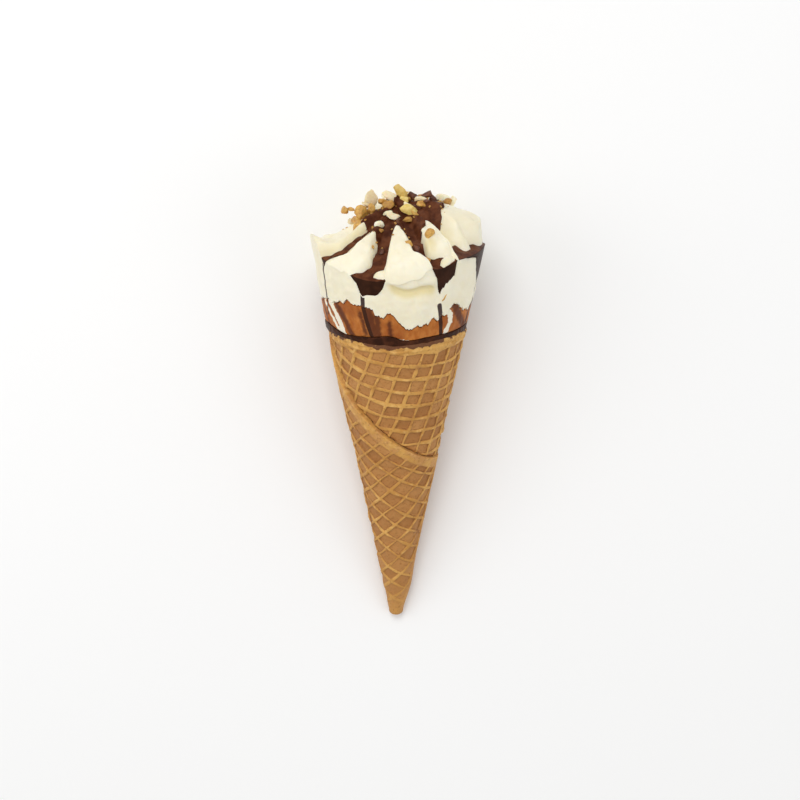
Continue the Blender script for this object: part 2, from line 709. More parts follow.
def wafer_finish():
    """Tan from pocket to rib, then the plain strip, scorched edges, specks, light crests,
    the stain at the rim and the dark gap at the lap's edge, each laid over the last."""
    kit = Finish("wafer", 0.72)
    broad = kit.noise(14.0, 3.0)
    fine = kit.noise(0.9, 5.0)
    rib = kit.paint("rib")
    cell = kit.paint("cell")
    pocket = kit.blend(cell, srgb(190, 134, 72), srgb(170, 114, 56))
    ridge = kit.blend(kit.step(broad, 0.35, 0.65), srgb(216, 164, 84), srgb(194, 138, 62))
    relief = kit.paint("relief")
    shown = kit.math("ADD", kit.math("MULTIPLY", rib, relief), kit.paint("rest"))
    tan = kit.blend(kit.step(shown, 0.25, 0.85), pocket, ridge)
    patch = kit.math("MULTIPLY", kit.paint("strip"), kit.step(kit.noise(3.4, 3.0), 0.42, 0.58))
    tan = kit.blend(kit.math("MULTIPLY", patch, 0.6), tan, srgb(196, 140, 84))
    broken = kit.step(kit.noise(1.3, 4.0), 0.30, 0.62)
    scorch = kit.math("MULTIPLY", kit.step(rib, 0.02, 0.20), kit.step(rib, 0.66, 0.3))
    scorch = kit.math("MULTIPLY", kit.math("MULTIPLY", scorch, relief), broken)
    tan = kit.blend(kit.math("MULTIPLY", scorch, 0.9), tan, srgb(136, 84, 34))
    speck = kit.math("MULTIPLY", kit.step(fine, 0.53, 0.70), 0.55)
    tan = kit.blend(speck, tan, srgb(146, 92, 38))
    crest = kit.step(kit.noise(2.1, 4.0), 0.46, 0.64)
    crest = kit.math("MULTIPLY", kit.step(shown, 0.84, 1.0), crest)
    tan = kit.blend(kit.math("MULTIPLY", crest, 0.55), tan, srgb(232, 186, 112))
    wander = kit.math("MULTIPLY", kit.math("SUBTRACT", fine, 0.5), 1.2)
    blot = kit.step(kit.math("ADD", kit.paint("stain"), wander), -0.10, 0.25)
    tan = kit.blend(kit.math("MULTIPLY", blot, 0.92), tan, srgb(90, 42, 18))
    gap = kit.math("MULTIPLY", kit.paint("gap"), kit.step(kit.noise(2.4, 3.0), 0.25, 0.55))
    tan = kit.blend(kit.math("MULTIPLY", gap, 0.85), tan, srgb(76, 44, 18))
    kit.colour(tan)
    kit.rough(fine, 0.6, 0.85)
    first = kit.bump(kit.noise(1.9, 4.0), 0.22)
    second = kit.bump(fine, 0.30, first)
    kit.bump(kit.noise(0.35, 3.0), 0.10, second)
    kit.under_skin(0.08, 1.0, (1.0, 0.6, 0.3))
    return kit.mat


WAFER = wafer_finish()
print("the wafer's material has", len(WAFER.node_tree.nodes), "nodes")

# %% [markdown]
# ## The three patches
# The lap is one patch from the tip up to its winding edge. The older turn shows above that
# edge, and starts 3 mm below it, so that no gap opens. Past the straight part of the edge,
# down the right side, the older turn shows from the tip to the rim.

# %% The three patches
# How far in mm the older turn reaches below the lap's edge
OVERLAP = 3.0
# Azimuths at which the lap starts, and at which the older turn starts and ends
LAP_START = -188.0
ROLL_START = -118.0
ROLL_END = 190.0

lap_azimuths = np.linspace(LAP_START, SEAM_LOW_AZIMUTH, 316)
lap_top = np.where(lap_azimuths < SEAM_RIM_AZIMUTH, RIM_SLANT, seam_slant(lap_azimuths))
lap = make_skin("wafer_lap", lap_azimuths, np.full_like(lap_azimuths, TIP_SLANT), lap_top,
                count=LAP_ROWS, ribs=LAP_RIBS, on_lap=True, seed=11, side_edge=True)
finish_piece(lap, WAFER, "wafer", "waffle_cone")

front_azimuths = np.linspace(ROLL_START, SEAM_LOW_AZIMUTH, 286)
front_low = np.minimum(seam_slant(front_azimuths) - OVERLAP, RIM_SLANT - OVERLAP)
front = make_skin("wafer_roll_front", front_azimuths, front_low,
                  np.full_like(front_azimuths, RIM_SLANT),
                  count=160, ribs=ROLL_RIBS, on_lap=False, seed=23)
finish_piece(front, WAFER, "wafer", "waffle_cone")

side_azimuths = np.linspace(SEAM_LOW_AZIMUTH, ROLL_END, 112)
side = make_skin("wafer_roll_side", side_azimuths, np.full_like(side_azimuths, TIP_SLANT),
                 np.full_like(side_azimuths, RIM_SLANT),
                 count=290, ribs=ROLL_RIBS, on_lap=False, seed=23)
finish_piece(side, WAFER, "wafer", "waffle_cone")

# %% [markdown]
# ## Layers on the sleeve face
# Above the rim the ice cream has the sleeve's smooth cone shape. First comes a ring of dark
# chocolate, then a band where cocoa ice has smeared up the side with a ragged top edge and
# slanting streaks. Both are thin rings. The streaks follow lines given by a few azimuths
# and heights, and each point keeps its distance from them, so their edges stay crisp.

# %% Sleeve shape and streak lines
# How much less the left side widens per mm of height, where that is, and how far it spreads
LEAN = 0.055
LEAN_AZIMUTH = -88.0
LEAN_SPREAD = 65.0
LAYER_SINK = 0.25
LAYER_THICKNESS = 1.2
RIM_CHOCOLATE_TOP = 3.6
# Each line: azimuths with heights in mm, and then its half width in mm
SAUCE_RUNS = (
    ((-23.4, 18.6), (-24.2, 14.0), (-22.9, 10.4), (-21.2, 6.8), (-19.2, 3.6), 0.72),
    ((32.3, 14.4), (33.2, 12.6), (34.4, 10.4), (35.9, 7.8), (38.0, 3.2), 0.8),
    ((-57.4, 28.2), (-59.1, 23.7), (-59.4, 19.2), (-61.3, 14.4), (-66.0, 8.3), 0.42),
    ((78.0, 19.5), (78.6, 15.5), (75.6, 12.0), (73.8, 9.3), (71.8, 3.2), 0.75),
    ((-100.0, 21.5), (-99.0, 16.0), (-101.0, 9.0), (-104.0, 3.0), 0.5),
    ((124.0, 23.5), (126.0, 17.0), (122.0, 10.0), (120.0, 3.0), 0.8),
    ((-146.0, 23.5), (-144.0, 15.0), (-148.0, 3.0), 0.7),
)
DARK_STREAKS = (
    ((-51.5, 14.6), (-45.9, 11.0), (-41.9, 8.2), (-37.2, 3.6), 1.0),
    ((-27.5, 12.0), (-24.9, 7.5), (-24.0, 4.4), 0.6),
    ((-20.5, 12.5), (-19.0, 8.0), (-15.5, 3.2), 1.6),
    ((-14.4, 11.8), (-13.6, 3.4), 0.9),
    ((-5.0, 9.0), (-3.7, 3.6), 0.55),
    ((47.0, 13.6), (52.0, 10.6), (60.0, 6.8), (69.0, 3.4), 1.3),
    ((-75.0, 12.6), (-66.0, 3.2), 1.0),
    ((84.0, 12.0), (92.0, 3.0), 1.4),
    ((110.0, 13.0), (122.0, 3.0), 1.2),
    ((150.0, 12.0), (162.0, 3.0), 1.5),
    ((-150.0, 12.0), (-138.0, 3.0), 1.4),
    ((-120.0, 12.0), (-108.0, 3.0), 1.1),
)
PALE_STREAKS = (
    ((-59.5, 14.6), (-53.5, 10.7), (-49.3, 7.5), (-46.0, 3.6), 1.25),
    ((-67.0, 12.5), (-61.0, 9.2), (-54.0, 5.6), (-50.0, 3.8), 0.75),
    ((38.5, 12.8), (45.0, 10.0), (45.6, 7.4), (42.4, 4.0), 1.05),
    ((1.0, 3.2), (5.0, 2.7), (10.0, 2.6), 0.14),
    ((138.0, 12.0), (146.0, 6.0), 0.9),
    ((-166.0, 12.0), (-160.0, 5.0), 1.1),
)


def half_turn(azimuth):
    """The same azimuth between -180 and 180 degrees."""
    return (azimuth + 180.0) % 360.0 - 180.0


def sleeve_radius(height, azimuth):
    """Radius of the cone carried on above the rim; the left side leans in a little."""
    turn = half_turn(azimuth - LEAN_AZIMUTH)
    lean = LEAN * (1.0 - smooth(np.abs(turn) / LEAN_SPREAD))
    return RIM_RADIUS + height * (SLOPE - lean)


def inside_lines(azimuth, height, lines):
    """How far in mm each point lies inside the nearest line's half width, on the unrolled
    sleeve: half width minus the distance to the line's closest straight stretch."""
    best = np.full(np.broadcast(azimuth, height).shape, -FAR)
    wrapped = half_turn(azimuth)
    scale = math.radians(1.0) * (RIM_RADIUS + 2.0)
    for *path, half in lines:
        for (a0, h0), (a1, h1) in zip(path, path[1:]):
            px = (wrapped - a0) * scale
            py = height - h0
            dx = (a1 - a0) * scale
            dy = h1 - h0
            t = np.clip((px * dx + py * dy) / (dx * dx + dy * dy), 0.0, 1.0)
            away = np.hypot(px - t * dx, py - t * dy)
            best = np.maximum(best, half - away)
    return best


print("the sleeve is", round(2.0 * float(sleeve_radius(30.0, 0.0)), 1),
      "mm across at 30 mm above the rim")

# %% [markdown]
# ## Top edges of the layers
# Both layers end in a wavy line. Over the front its heights are measured, one by one. Behind
# they carry on as gentle waves, because nothing is known of them.

# %% Top edges of the two layers
# Azimuth, and height above the rim in mm
BAND_TOP_SEEN = ((-61, 14.1), (-50, 14.0), (-36, 15.5), (-27, 14.0), (-17, 13.7),
                 (-15, 10.8), (-9, 10.7), (-4, 12.4), (-2, 11.5), (4, 8.0), (8, 6.6),
                 (13, 6.6), (18, 7.4), (24, 7.8), (27, 9.7), (33, 9.3), (40, 10.8),
                 (46, 13.8), (51, 13.1), (59, 10.2), (72, 10.0))


def eased_behind(turn, table, hidden):
    """Measured heights over the front, eased within 18 degrees to those of the hidden side."""
    seen = np.array(table)
    shown = np.interp(turn, seen[:, 0], seen[:, 1])
    past = np.maximum(seen[0, 0] - turn, turn - seen[-1, 0])
    share = smooth(past / 18.0)
    return shown * (1.0 - share) + hidden * share


def band_top(azimuth):
    """Ragged top of the cocoa band: measured heights on the front, gentle waves behind."""
    turn = half_turn(azimuth)
    hidden = 11.5 + 1.6 * np.sin(np.radians(4.0 * turn + 40.0))
    hidden = hidden + 0.9 * np.sin(np.radians(11.0 * turn))
    rounds = polar(26.0, azimuth, 0.0)
    ragged = 0.24 * ripple(rounds, 2.2, 41) + 0.17 * ripple(rounds, 0.9, 43)
    return eased_behind(turn, BAND_TOP_SEEN, hidden) + ragged


RING_TOP_SEEN = ((-72, 4.4), (-61, 4.0), (-52, 3.4), (-45, 2.8), (-34, 3.0), (-26, 3.3),
                 (-18, 3.4), (-11, 3.9), (-6, 4.1), (0, 3.6), (4, 2.6), (11, 2.4), (17, 2.6),
                 (23, 3.0), (34, 3.2), (51, 3.3), (70, 3.5))


def rim_chocolate_top(azimuth):
    """Wavy top of the dark chocolate at the rim: measured in front, gentle waves behind."""
    turn = half_turn(azimuth)
    wave = 0.45 * np.sin(np.radians(3.0 * turn + 65.0)) + 0.2 * np.sin(np.radians(8.0 * turn))
    return eased_behind(turn, RING_TOP_SEEN, RIM_CHOCOLATE_TOP + wave)


def band_bottom(azimuth):
    """Bottom of the cocoa band: just clear of the chocolate's top."""
    return rim_chocolate_top(azimuth) + GAP * 0.3


all_round = np.arange(-180.0, 180.0, 0.5)
print("the cocoa band's top is", round(float(band_top(all_round).min()), 1), "to",
      round(float(band_top(all_round).max()), 1), "mm above the rim")

# %% [markdown]
# ## Two rings
# Each ring is one profile carried round the cone: up the outside, over a rounded top, and
# down the inside. The cocoa band starts where the chocolate ring ends. Their materials read
# the distance to the streak lines, so that a streak's edge needs no points of its own.

# %% Chocolate ring and cocoa band
LAYER_COLUMNS = 720
# Share of a layer's height over which its edges are rounded, and how far in mm
LAYER_EDGE = 0.06
LAYER_EDGE_SINK = 0.35


def make_layer(name, bottom, top, rows, crown, seed):
    """A ring on the sleeve face. Its profile goes up the outside, over a rounded top edge,
    and down the inside; crown says how far the outside swells at mid height."""
    azimuth = np.linspace(-180.0, 180.0, LAYER_COLUMNS + 1)[:-1][None, :]
    low = bottom(azimuth)
    high = top(azimuth)
    share = np.linspace(0.0, 1.0, rows)[:, None]
    height = low + (high - low) * share
    edge = smooth(share / LAYER_EDGE) * smooth((1.0 - share) / LAYER_EDGE)
    sink = LAYER_SINK + LAYER_EDGE_SINK * (1.0 - edge) - crown * np.sin(math.pi * share)
    sink = sink - 0.05 * ripple(polar(26.0, azimuth, height), 2.6, seed + 1)
    outer = polar(sleeve_radius(height, azimuth) - sink, azimuth, RIM_Z + height)
    back = height[::-4]
    deep = LAYER_SINK + LAYER_THICKNESS
    inner = polar(sleeve_radius(back, azimuth) - deep, azimuth, RIM_Z + back)
    grid = np.concatenate((outer, inner))
    heights = np.concatenate((height, back))
    grid = np.concatenate((grid, grid[:1]))
    heights = np.concatenate((heights, heights[:1]))
    faces = grid_faces(len(grid), grid.shape[1], closed=True).tolist()
    turn = np.repeat(azimuth, len(grid), axis=0)
    paints = {
        "run": inside_lines(turn, heights, SAUCE_RUNS),
        "dark": inside_lines(turn, heights, DARK_STREAKS),
        "pale": inside_lines(turn, heights, PALE_STREAKS),
        "below_top": high - heights,
    }
    return put_mesh(name, lay_down(grid, GAP), faces, paints, 0.00001)


def chocolate_finish(name, roughness, body, lifted):
    """Dark chocolate: nearly black brown, a little lighter where it is thin or frosted."""
    kit = Finish(name, roughness)
    cloud = kit.noise(3.2, 4.0)
    tone = kit.blend(kit.step(cloud, 0.38, 0.68), body, lifted)
    kit.colour(tone)
    kit.shader.inputs["Specular IOR Level"].default_value = 0.2
    kit.shader.inputs["IOR"].default_value = 1.3
    kit.rough(cloud, roughness - 0.08, roughness + 0.12)
    first = kit.bump(kit.noise(1.6, 3.0), 0.10)
    kit.bump(kit.noise(0.4, 3.0), 0.02, first)
    return kit.mat


def cocoa_finish():
    """Milky brown in clouds, then warm patches, dark streaks, a dark top edge, pale streaks
    and the runs of sauce, each laid over the last."""
    kit = Finish("cocoa", 0.5)
    cloud = kit.noise(2.6, 4.0, (1.0, 0.5, 0.9))
    body = kit.blend(kit.step(cloud, 0.35, 0.68), srgb(172, 98, 38), srgb(194, 122, 58))
    warm = kit.step(kit.noise(8.0, 2.0), 0.42, 0.62)
    body = kit.blend(kit.math("MULTIPLY", warm, 0.5), body, srgb(142, 72, 30))
    edge = kit.noise(1.2, 3.0)
    wobble = kit.math("MULTIPLY", kit.math("SUBTRACT", edge, 0.5), 1.6)
    dark = kit.step(kit.math("ADD", kit.paint("dark"), wobble), -0.9, 0.5)
    body = kit.blend(kit.math("MULTIPLY", dark, 0.88), body, srgb(86, 42, 24))
    rim = kit.math("ADD", kit.paint("below_top"), kit.math("MULTIPLY", wobble, 0.3))
    body = kit.blend(kit.math("MULTIPLY", kit.step(rim, 0.40, 0.10), 0.6), body, srgb(112, 58, 26))
    pale = kit.step(kit.math("ADD", kit.paint("pale"), wobble), -0.12, 0.12)
    body = kit.blend(pale, body, srgb(240, 232, 212))
    run = kit.step(kit.paint("run"), -0.10, 0.10)
    body = kit.blend(run, body, srgb(62, 32, 17))
    kit.colour(body)
    kit.shader.inputs["Specular IOR Level"].default_value = 0.25
    kit.shader.inputs["IOR"].default_value = 1.35
    kit.rough(cloud, 0.42, 0.6)
    kit.bump(kit.noise(1.4, 3.0), 0.08)
    kit.under_skin(0.15, 1.0, (1.0, 0.5, 0.25))
    return kit.mat


DARK_CHOCOLATE = chocolate_finish("dark_chocolate", 0.42, srgb(50, 25, 13), srgb(80, 43, 25))
COCOA = cocoa_finish()

ring = make_layer("chocolate_rim", rim_line, rim_chocolate_top, 22, 0.12, 31)
finish_piece(ring, DARK_CHOCOLATE, "dark_chocolate", "chocolate_rim")
band = make_layer("cocoa_band", band_bottom, band_top, 56, 0.0, 41)
finish_piece(band, COCOA, "cocoa", "cocoa_band")

# %% [markdown]
# ## The rosette
# A star nozzle leaves lobes with deep grooves between them. Seen from the crown, the height
# at each azimuth falls from the crest to the sleeve: round-shouldered on a lobe, straight in
# a groove. At the sleeve the lobes end in V-shaped notches, where the sauce shows as pools.

# %% Numbers of the rosette
# Azimuth of each groove at the sleeve, and the degrees by which it curves inside. The lobe
# after each groove has the crest and the fullness at the same place in their rows: a small
# fullness makes a lobe that stays high to its end.
GROOVES = np.array((-100.0, -57.0, -19.0, 32.0, 48.5, 124.0, 168.0, 214.0))
GROOVE_BENDS = np.array((6.0, 11.0, 6.0, -14.0, 7.0, -8.0, 0.0, 4.0))
GROOVE_RING = np.append(GROOVES, GROOVES[0] + 360.0)
CRESTS = np.array((42.5, 40.5, 41.5, 42.0, 45.0, 46.0, 45.0, 43.0))
# Share of the way out at which a lobe ends, and at which its side starts to fall, at each
# azimuth: the right lobe stands off the sleeve at its left end
LOBE_ENDS = ((34, 1.0), (43.5, 1.0), (47.5, 0.85), (52, 0.86), (58, 0.93), (66, 0.96),
             (78, 1.0), (120, 1.0))
FALL_STARTS = ((20, 0.80), (34, 0.88), (42, 0.88), (46, 0.76), (64, 0.76), (76, 0.94),
               (112, 0.94), (118, 0.92), (128, 0.80))
# How far in mm a lobe's side may stand above the notches beside it
LOBE_SLACK = np.array((3.0, 3.0, 3.0, 8.0, 20.0, 3.0, 3.0, 3.0))
# Place in the rows of the lobe right of the front one: wide inside, narrow at the sleeve
NARROW_LOBE = 3
FULLNESS = np.array((3.40, 0.86, 0.66, 0.64, 0.62, 0.90, 1.00, 2.60))
SAUCE_CENTRE = 43.0
GROOVE_HALF_WIDTH = 0.9
LOBE_RADIUS = 4.4
# The narrow lobe's side is steeper by this factor
NARROW_RADIUS = 0.68
# Depth in mm of the groove's floor where a lobe stands off the sleeve
GROOVE_SINK = 2.2
# Degrees beside a groove over which one lobe's values change to its neighbour's
LOBE_EASE = 12.0
# Where each lobe's own height at the sleeve is measured: azimuth and height
LOBE_SHOULDERS = ((-125, 29.5), (-90, 32.0), (-68, 32.6), (-50, 28.8), (-34, 26.4), (-6, 25.2),
                  (6, 25.8), (20, 28.2), (44, 29.7), (54, 30.5), (62, 33.5), (70, 34.5),
                  (90, 36.6), (103, 34.6), (118, 33.0), (146, 34.5), (190, 35.0))
# The cream's top edge on the sleeve: shoulders, and the notches that the sauce fills
EDGE = ((-103, 25.0), (-100, 20.0), (-96, 24.0), (-89, 33.0), (-80, 34.6), (-72, 35.6), (-69, 35.4),
        (-64.5, 33.5), (-61, 30.5), (-58.6, 27.4), (-57, 25.6), (-55.4, 26.6), (-53.8, 27.9),
        (-48, 28.7), (-40, 28.0), (-34.5, 26.4), (-31.6, 25.1), (-27.4, 22.5), (-25.3, 19.0),
        (-23.6, 17.7), (-14.3, 18.1), (-8.8, 21.5), (-6.5, 24.3), (-3, 25.2), (6, 25.8),
        (15, 26.9), (20, 28.1), (22.8, 28.4), (24.2, 27.4), (27.2, 24.3), (30, 19.2),
        (32.6, 16.6), (35.4, 19.4), (39.5, 22.2), (41.9, 23.4), (42.5, 29.3), (50, 29.6),
        (57, 29.3), (63.6, 28.6), (66, 25.6), (70, 22.0), (75, 19.2), (78, 18.4), (82, 20.0),
        (88, 21.0), (97, 22.0), (103, 25.0), (108, 31.0), (115, 33.5), (119, 31.0),
        (124, 22.0), (129, 30.0), (135, 34.0), (150, 34.5), (160, 34.0), (168, 22.0),
        (176, 34.0), (190, 35.0), (205, 33.0), (214, 22.0), (222, 27.0), (235, 29.0),
        (250, 28.5))
# Height of the sauce at the sleeve
SAUCE_LINE = ((-100, 24.0), (-80, 26.0), (-63, 29.0), (-57, 28.3), (-53.9, 28.0), (-53.0, 25.0),
              (-33.0, 23.2), (-31.7, 25.2), (-26, 24.4), (-19, 23.8), (-12.8, 23.7),
              (-6.6, 24.4), (-5.4, 22.0), (21.6, 25.0), (22.9, 28.0), (28, 27.4), (32, 27.6),
              (36.5, 28.3), (41.7, 29.5), (45.0, 29.6), (57, 29.7), (68, 29.9),
              (78, 30.2), (88, 30.2), (98, 27.5), (108, 26.5), (124, 29.0), (168, 30.0),
              (214, 24.0))
# How far the sauce spreads over the crown's cream, at each azimuth
CAP_REACH = ((-180, 9.0), (-140, 9.0), (-100, 10.0), (-65, 13.0), (-34, 14.6), (-15, 17.0),
             (2, 13.6), (18, 18.0), (24, 20.5), (27, 19.2), (29, 17.8), (34, 15.9), (40, 14.0),
             (49, 13.4), (54, 16.4), (60, 17.2), (66, 17.0), (70, 16.2), (93, 16.5), (125, 13.0),
             (150, 9.5))
# Mounds of cream that lean over the two front pools: azimuth, radius, top and spread
MOUNDS = ((-10.0, 26.2, 27.0, 2.3), (39.5, 27.5, 31.2, 2.6))

print(len(GROOVES), "lobes with crests from", CRESTS.min(), "to", CRESTS.max(), "mm")

# %% [markdown]
# ## Lobes and grooves
# A point of the rosette is named by its azimuth at the sleeve and its share of the way out.
# From these follow the lobe that it is on, how far it is from the nearest groove, and how
# much the grooves' curve turns it.

# %% Lobes, grooves and their bend


def groove_span(azimuth):
    """Lobe that holds an azimuth, and the distance in degrees to its two grooves."""
    turn = (azimuth - GROOVES[0]) % 360.0 + GROOVES[0]
    k = np.searchsorted(GROOVE_RING, turn + 1e-6, side="right") - 1
    k = np.clip(k, 0, len(GROOVES) - 1)
    return k, turn - GROOVE_RING[k], GROOVE_RING[k + 1] - turn


def lobe_value(azimuth, values):
    """Lobe values, level over a lobe and eased to the neighbour's at the groove."""
    k, left, right = groove_span(azimuth)
    other = np.where(left < right, k - 1, k + 1) % len(GROOVES)
    share = 0.5 - 0.5 * smooth(np.minimum(left, right) / LOBE_EASE)
    return values[k] * (1.0 - share) + values[other] * share


def bend(share, azimuth):
    """Turn in degrees that curves the grooves: full inside, and none at the sleeve."""
    turn = np.interp(azimuth, GROOVES, GROOVE_BENDS, period=360.0)
    start = around_cone(azimuth, ((-100, 0.82), (34, 0.82), (46, 0.5), (70, 0.5), (110, 0.82)))
    return turn * (1.0 - smooth((share - start) / (0.99 - start)))


def unbend(share, azimuth):
    """Azimuth before the bend: nine rounds, each of which makes about half the correction."""
    found = azimuth
    for _ in range(9):
        found = found + 0.55 * (azimuth - bend(share, found) - found)
    return found


def edge_height(azimuth):
    """Top of the cream on the sleeve."""
    return around_cone(azimuth, EDGE)


def rounding(azimuth):
    """How far in mm the shoulders of the front lobe and of the one left of it are rounded
    down at the sleeve."""
    front_lobe = smooth((azimuth + 8.0) / 6.0) * smooth((22.0 - azimuth) / 6.0)
    left_lobe = smooth((azimuth + 54.0) / 5.0) * smooth((-34.0 - azimuth) / 5.0)
    return 1.9 * front_lobe + 1.5 * left_lobe


def cream_reach(azimuth):
    """Radius where the upper surface ends: on the sleeve at the height of the edge, and
    brought out over the two pools where the narrow lobe's tip and the right lobe's side
    lean over the sauce."""
    leaning = smooth((azimuth - 29.5) / 3.0) * smooth((46.5 - azimuth) / 3.0)
    standing = smooth((azimuth - 66.0) / 10.0) * smooth((112.0 - azimuth) / 6.0)
    outer = sleeve_radius(edge_height(azimuth), azimuth)
    brought = leaning * (np.maximum(outer, sleeve_radius(28.6, azimuth) - 0.35) - outer)
    brought = brought + standing * (np.maximum(outer, sleeve_radius(31.0, azimuth) - 0.3) - outer)
    return outer + brought


def sauce_reach(azimuth):
    """Radius where the sauce's upper surface ends, and how far that is inside the sleeve."""
    level = sauce_level(azimuth)
    sink = 0.06 + 3.0 * smooth((edge_height(azimuth) - level) / 1.5)
    return sleeve_radius(level, azimuth) - sink, sink


def lobe_share(share, azimuth):
    """0 in a groove and 1 on a lobe, by the distance across from the groove's line. The
    narrow lobe measures it after the bend, and has steeper sides."""
    k, left, right = groove_span(azimuth)
    turned = bend(share, azimuth)
    left = np.where(k == NARROW_LOBE, left + turned - bend(share, GROOVE_RING[k]), left)
    right = np.where(k == NARROW_LOBE, right - turned + bend(share, GROOVE_RING[k + 1]), right)
    nearest = np.radians(np.minimum(np.minimum(left, right), 90.0))
    across = share * cream_reach(azimuth) * np.sin(nearest)
    radius = np.where(k == NARROW_LOBE, NARROW_RADIUS, 1.0) * LOBE_RADIUS
    return smooth((across - GROOVE_HALF_WIDTH) / radius)


cream_line = edge_height(all_round)
print("the cream's edge is", round(float(cream_line.min()), 1), "to",
      round(float(cream_line.max()), 1), "mm above the rim")

# %% [markdown]
# ## Height of the cream
# Piped cream slumps: it is highest at the crown, and stays high over a lobe until it falls
# round at the sleeve. In a groove it falls straight away, since no cream was laid there.

# %% Height of the cream


def top_height(share, azimuth):
    """Upper surface at a share of the way out. A lobe falls from its crest to its shoulder
    as (1 - share squared) to the power of its fullness, where share is counted to the lobe's
    end. A groove falls as (1 - share) to the power 0.85, and is sunk beyond a lobe that ends
    before the sleeve. Close to its end the shoulder gives way to the edge with its notches.
    Mounds stand over this, and two lobes are rounded at the sleeve."""
    edge = edge_height(azimuth)
    shoulder = around_cone(azimuth, LOBE_SHOULDERS)
    full = lobe_share(share, azimuth)
    end = around_cone(azimuth, LOBE_ENDS)
    inside = share / end
    round_fall = np.maximum(0.0, 1.0 - inside ** 2) ** lobe_value(azimuth, FULLNESS)
    straight_fall = np.maximum(0.0, 1.0 - share) ** 0.85
    crest = lobe_value(azimuth, CRESTS)
    slack = lobe_value(azimuth, LOBE_SLACK)
    start = around_cone(azimuth, FALL_STARTS)
    # At the right lobe's left end the side falls within a short span
    steep = smooth((azimuth - 42.0) / 4.0) * smooth((74.0 - azimuth) / 8.0)
    span = 0.12 * steep + (1.0 - start) * (1.0 - steep)
    near = smooth((inside - start) / span)
    low = edge * near + np.minimum(shoulder, edge + slack) * (1.0 - near)
    lobe = low + (crest - low) * round_fall
    sunk = smooth((share - 0.78) / 0.07) * smooth((1.0 - share) / 0.04) * smooth((1.0 - end) / 0.12)
    groove = edge + (crest - edge) * straight_fall - GROOVE_SINK * sunk
    height = full * lobe + (1.0 - full) * groove
    # A mound is its top less 2.4 times the squared distance, counted in spreads
    radius = share * cream_reach(azimuth)
    for azimuth_0, radius_0, top_0, spread in MOUNDS:
        side = np.radians(azimuth + bend(share, azimuth) - azimuth_0) * radius_0
        away = np.sqrt((side * 0.62) ** 2 + (radius - radius_0) ** 2) / spread
        mound = top_0 - 2.4 * away ** 2
        height = np.where(away < 2.0, np.maximum(height, mound), height)
    past = np.clip((share - 0.9) / 0.1, 0.0, 1.0)
    return height - rounding(azimuth) * (1.0 - np.sqrt(1.0 - past ** 2))


half_way = top_height(np.full_like(all_round, 0.5), all_round)
print("half way out the cream is", round(float(half_way.min()), 1), "to",
      round(float(half_way.max()), 1), "mm above the rim")

# %% [markdown]
# ## Height of the sauce, and the fold
# The sauce ran down the grooves and filled the notches at the sleeve, so its top is level
# there. Under the tongue of the front lobe the cream is folded in.

# %% Height of the sauce, and the fold


def sauce_level(azimuth):
    """Sauce at the sleeve: level across each notch, and sunk under the lobes beside it."""
    level = around_cone(azimuth, SAUCE_LINE)
    edge = edge_height(azimuth)
    covered = smooth((edge - level - 0.05) / 0.7)
    return level * (1.0 - covered) + np.minimum(level, edge - 1.8) * covered


def sauce_height(share, azimuth):
    """Top of the sauce: a fall from the crown to the pool at the sleeve, and a film over
    the crown's cream that ends along a ragged line."""
    level = sauce_level(azimuth)
    body = level + (SAUCE_CENTRE - level) * np.maximum(0.0, 1.0 - share) ** 0.95
    turned = azimuth + bend(share, azimuth)
    radius = share * sauce_reach(azimuth)[0]
    spots = polar(radius, turned, 0.0)
    ragged = around_cone(turned, CAP_REACH)
    ragged = ragged + 0.5 * ripple(spots, 5.0, 81) + 0.3 * ripple(spots, 2.0, 82)
    film = 1.0 - smooth((radius - ragged) / 1.1 + 0.5)
    cream_share = np.minimum(1.0, radius / cream_reach(azimuth))
    cream_top = top_height(cream_share, unbend(cream_share, turned))
    over = np.maximum(body, cream_top + 0.8)
    return body * (1.0 - film) + over * film


# Line of the fold under the front lobe: azimuth and height
FOLD_LINE = ((-9, 23.4), (-6, 22.9), (0.6, 21.2), (6.6, 19.9), (16.8, 21.2), (23, 21.9),
             (28, 20.8), (33, 18.0))


def crease(height, azimuth):
    """Fold under the front lobe's tongue: sharp above, and slow to come back out below."""
    line = sum(around_cone(azimuth + step, FOLD_LINE) for step in (-5.0, -2.5, 0.0, 2.5, 5.0)) / 5.0
    window = smooth((azimuth + 9.0) / 9.0) * smooth((31.0 - azimuth) / 7.0)
    below = line - height
    fold = np.where(below > 0.0, np.exp(-(below / 2.8) ** 2), np.exp(-(below / 0.9) ** 2))
    return 1.2 * window * fold


print("the sauce stands above the cream's edge over",
      round(100.0 * float(np.mean(sauce_level(all_round) > cream_line))), "% of the way round")

# %% [markdown]
# ## Vanilla rosette
# The cream is one closed surface. Its rows are rings: from the crown out over the lobes,
# down the sleeve, in behind the two layers, and down to a hidden core in the wafer. The
# rings over the lobes are turned by the grooves' bend. Columns stand closer over the front,
# where the notches are.

# %% Cream surface
TOP_ROWS = 92
SIDE_ROWS = 73
# Height along the axis, in mm, at which the hidden core ends
CORE_Z = 22.0
# Value of the run paint where no run of sauce can be
NO_RUN = -9.0


def rosette_azimuths(front, behind):
    """Azimuths in even steps, finer over the front, where the notches are cut."""
    steps = (np.arange(-180.0, -72.0, behind), np.arange(-72.0, 92.0, front),
             np.arange(92.0, 180.0, behind))
    return np.concatenate(steps)[None, :]


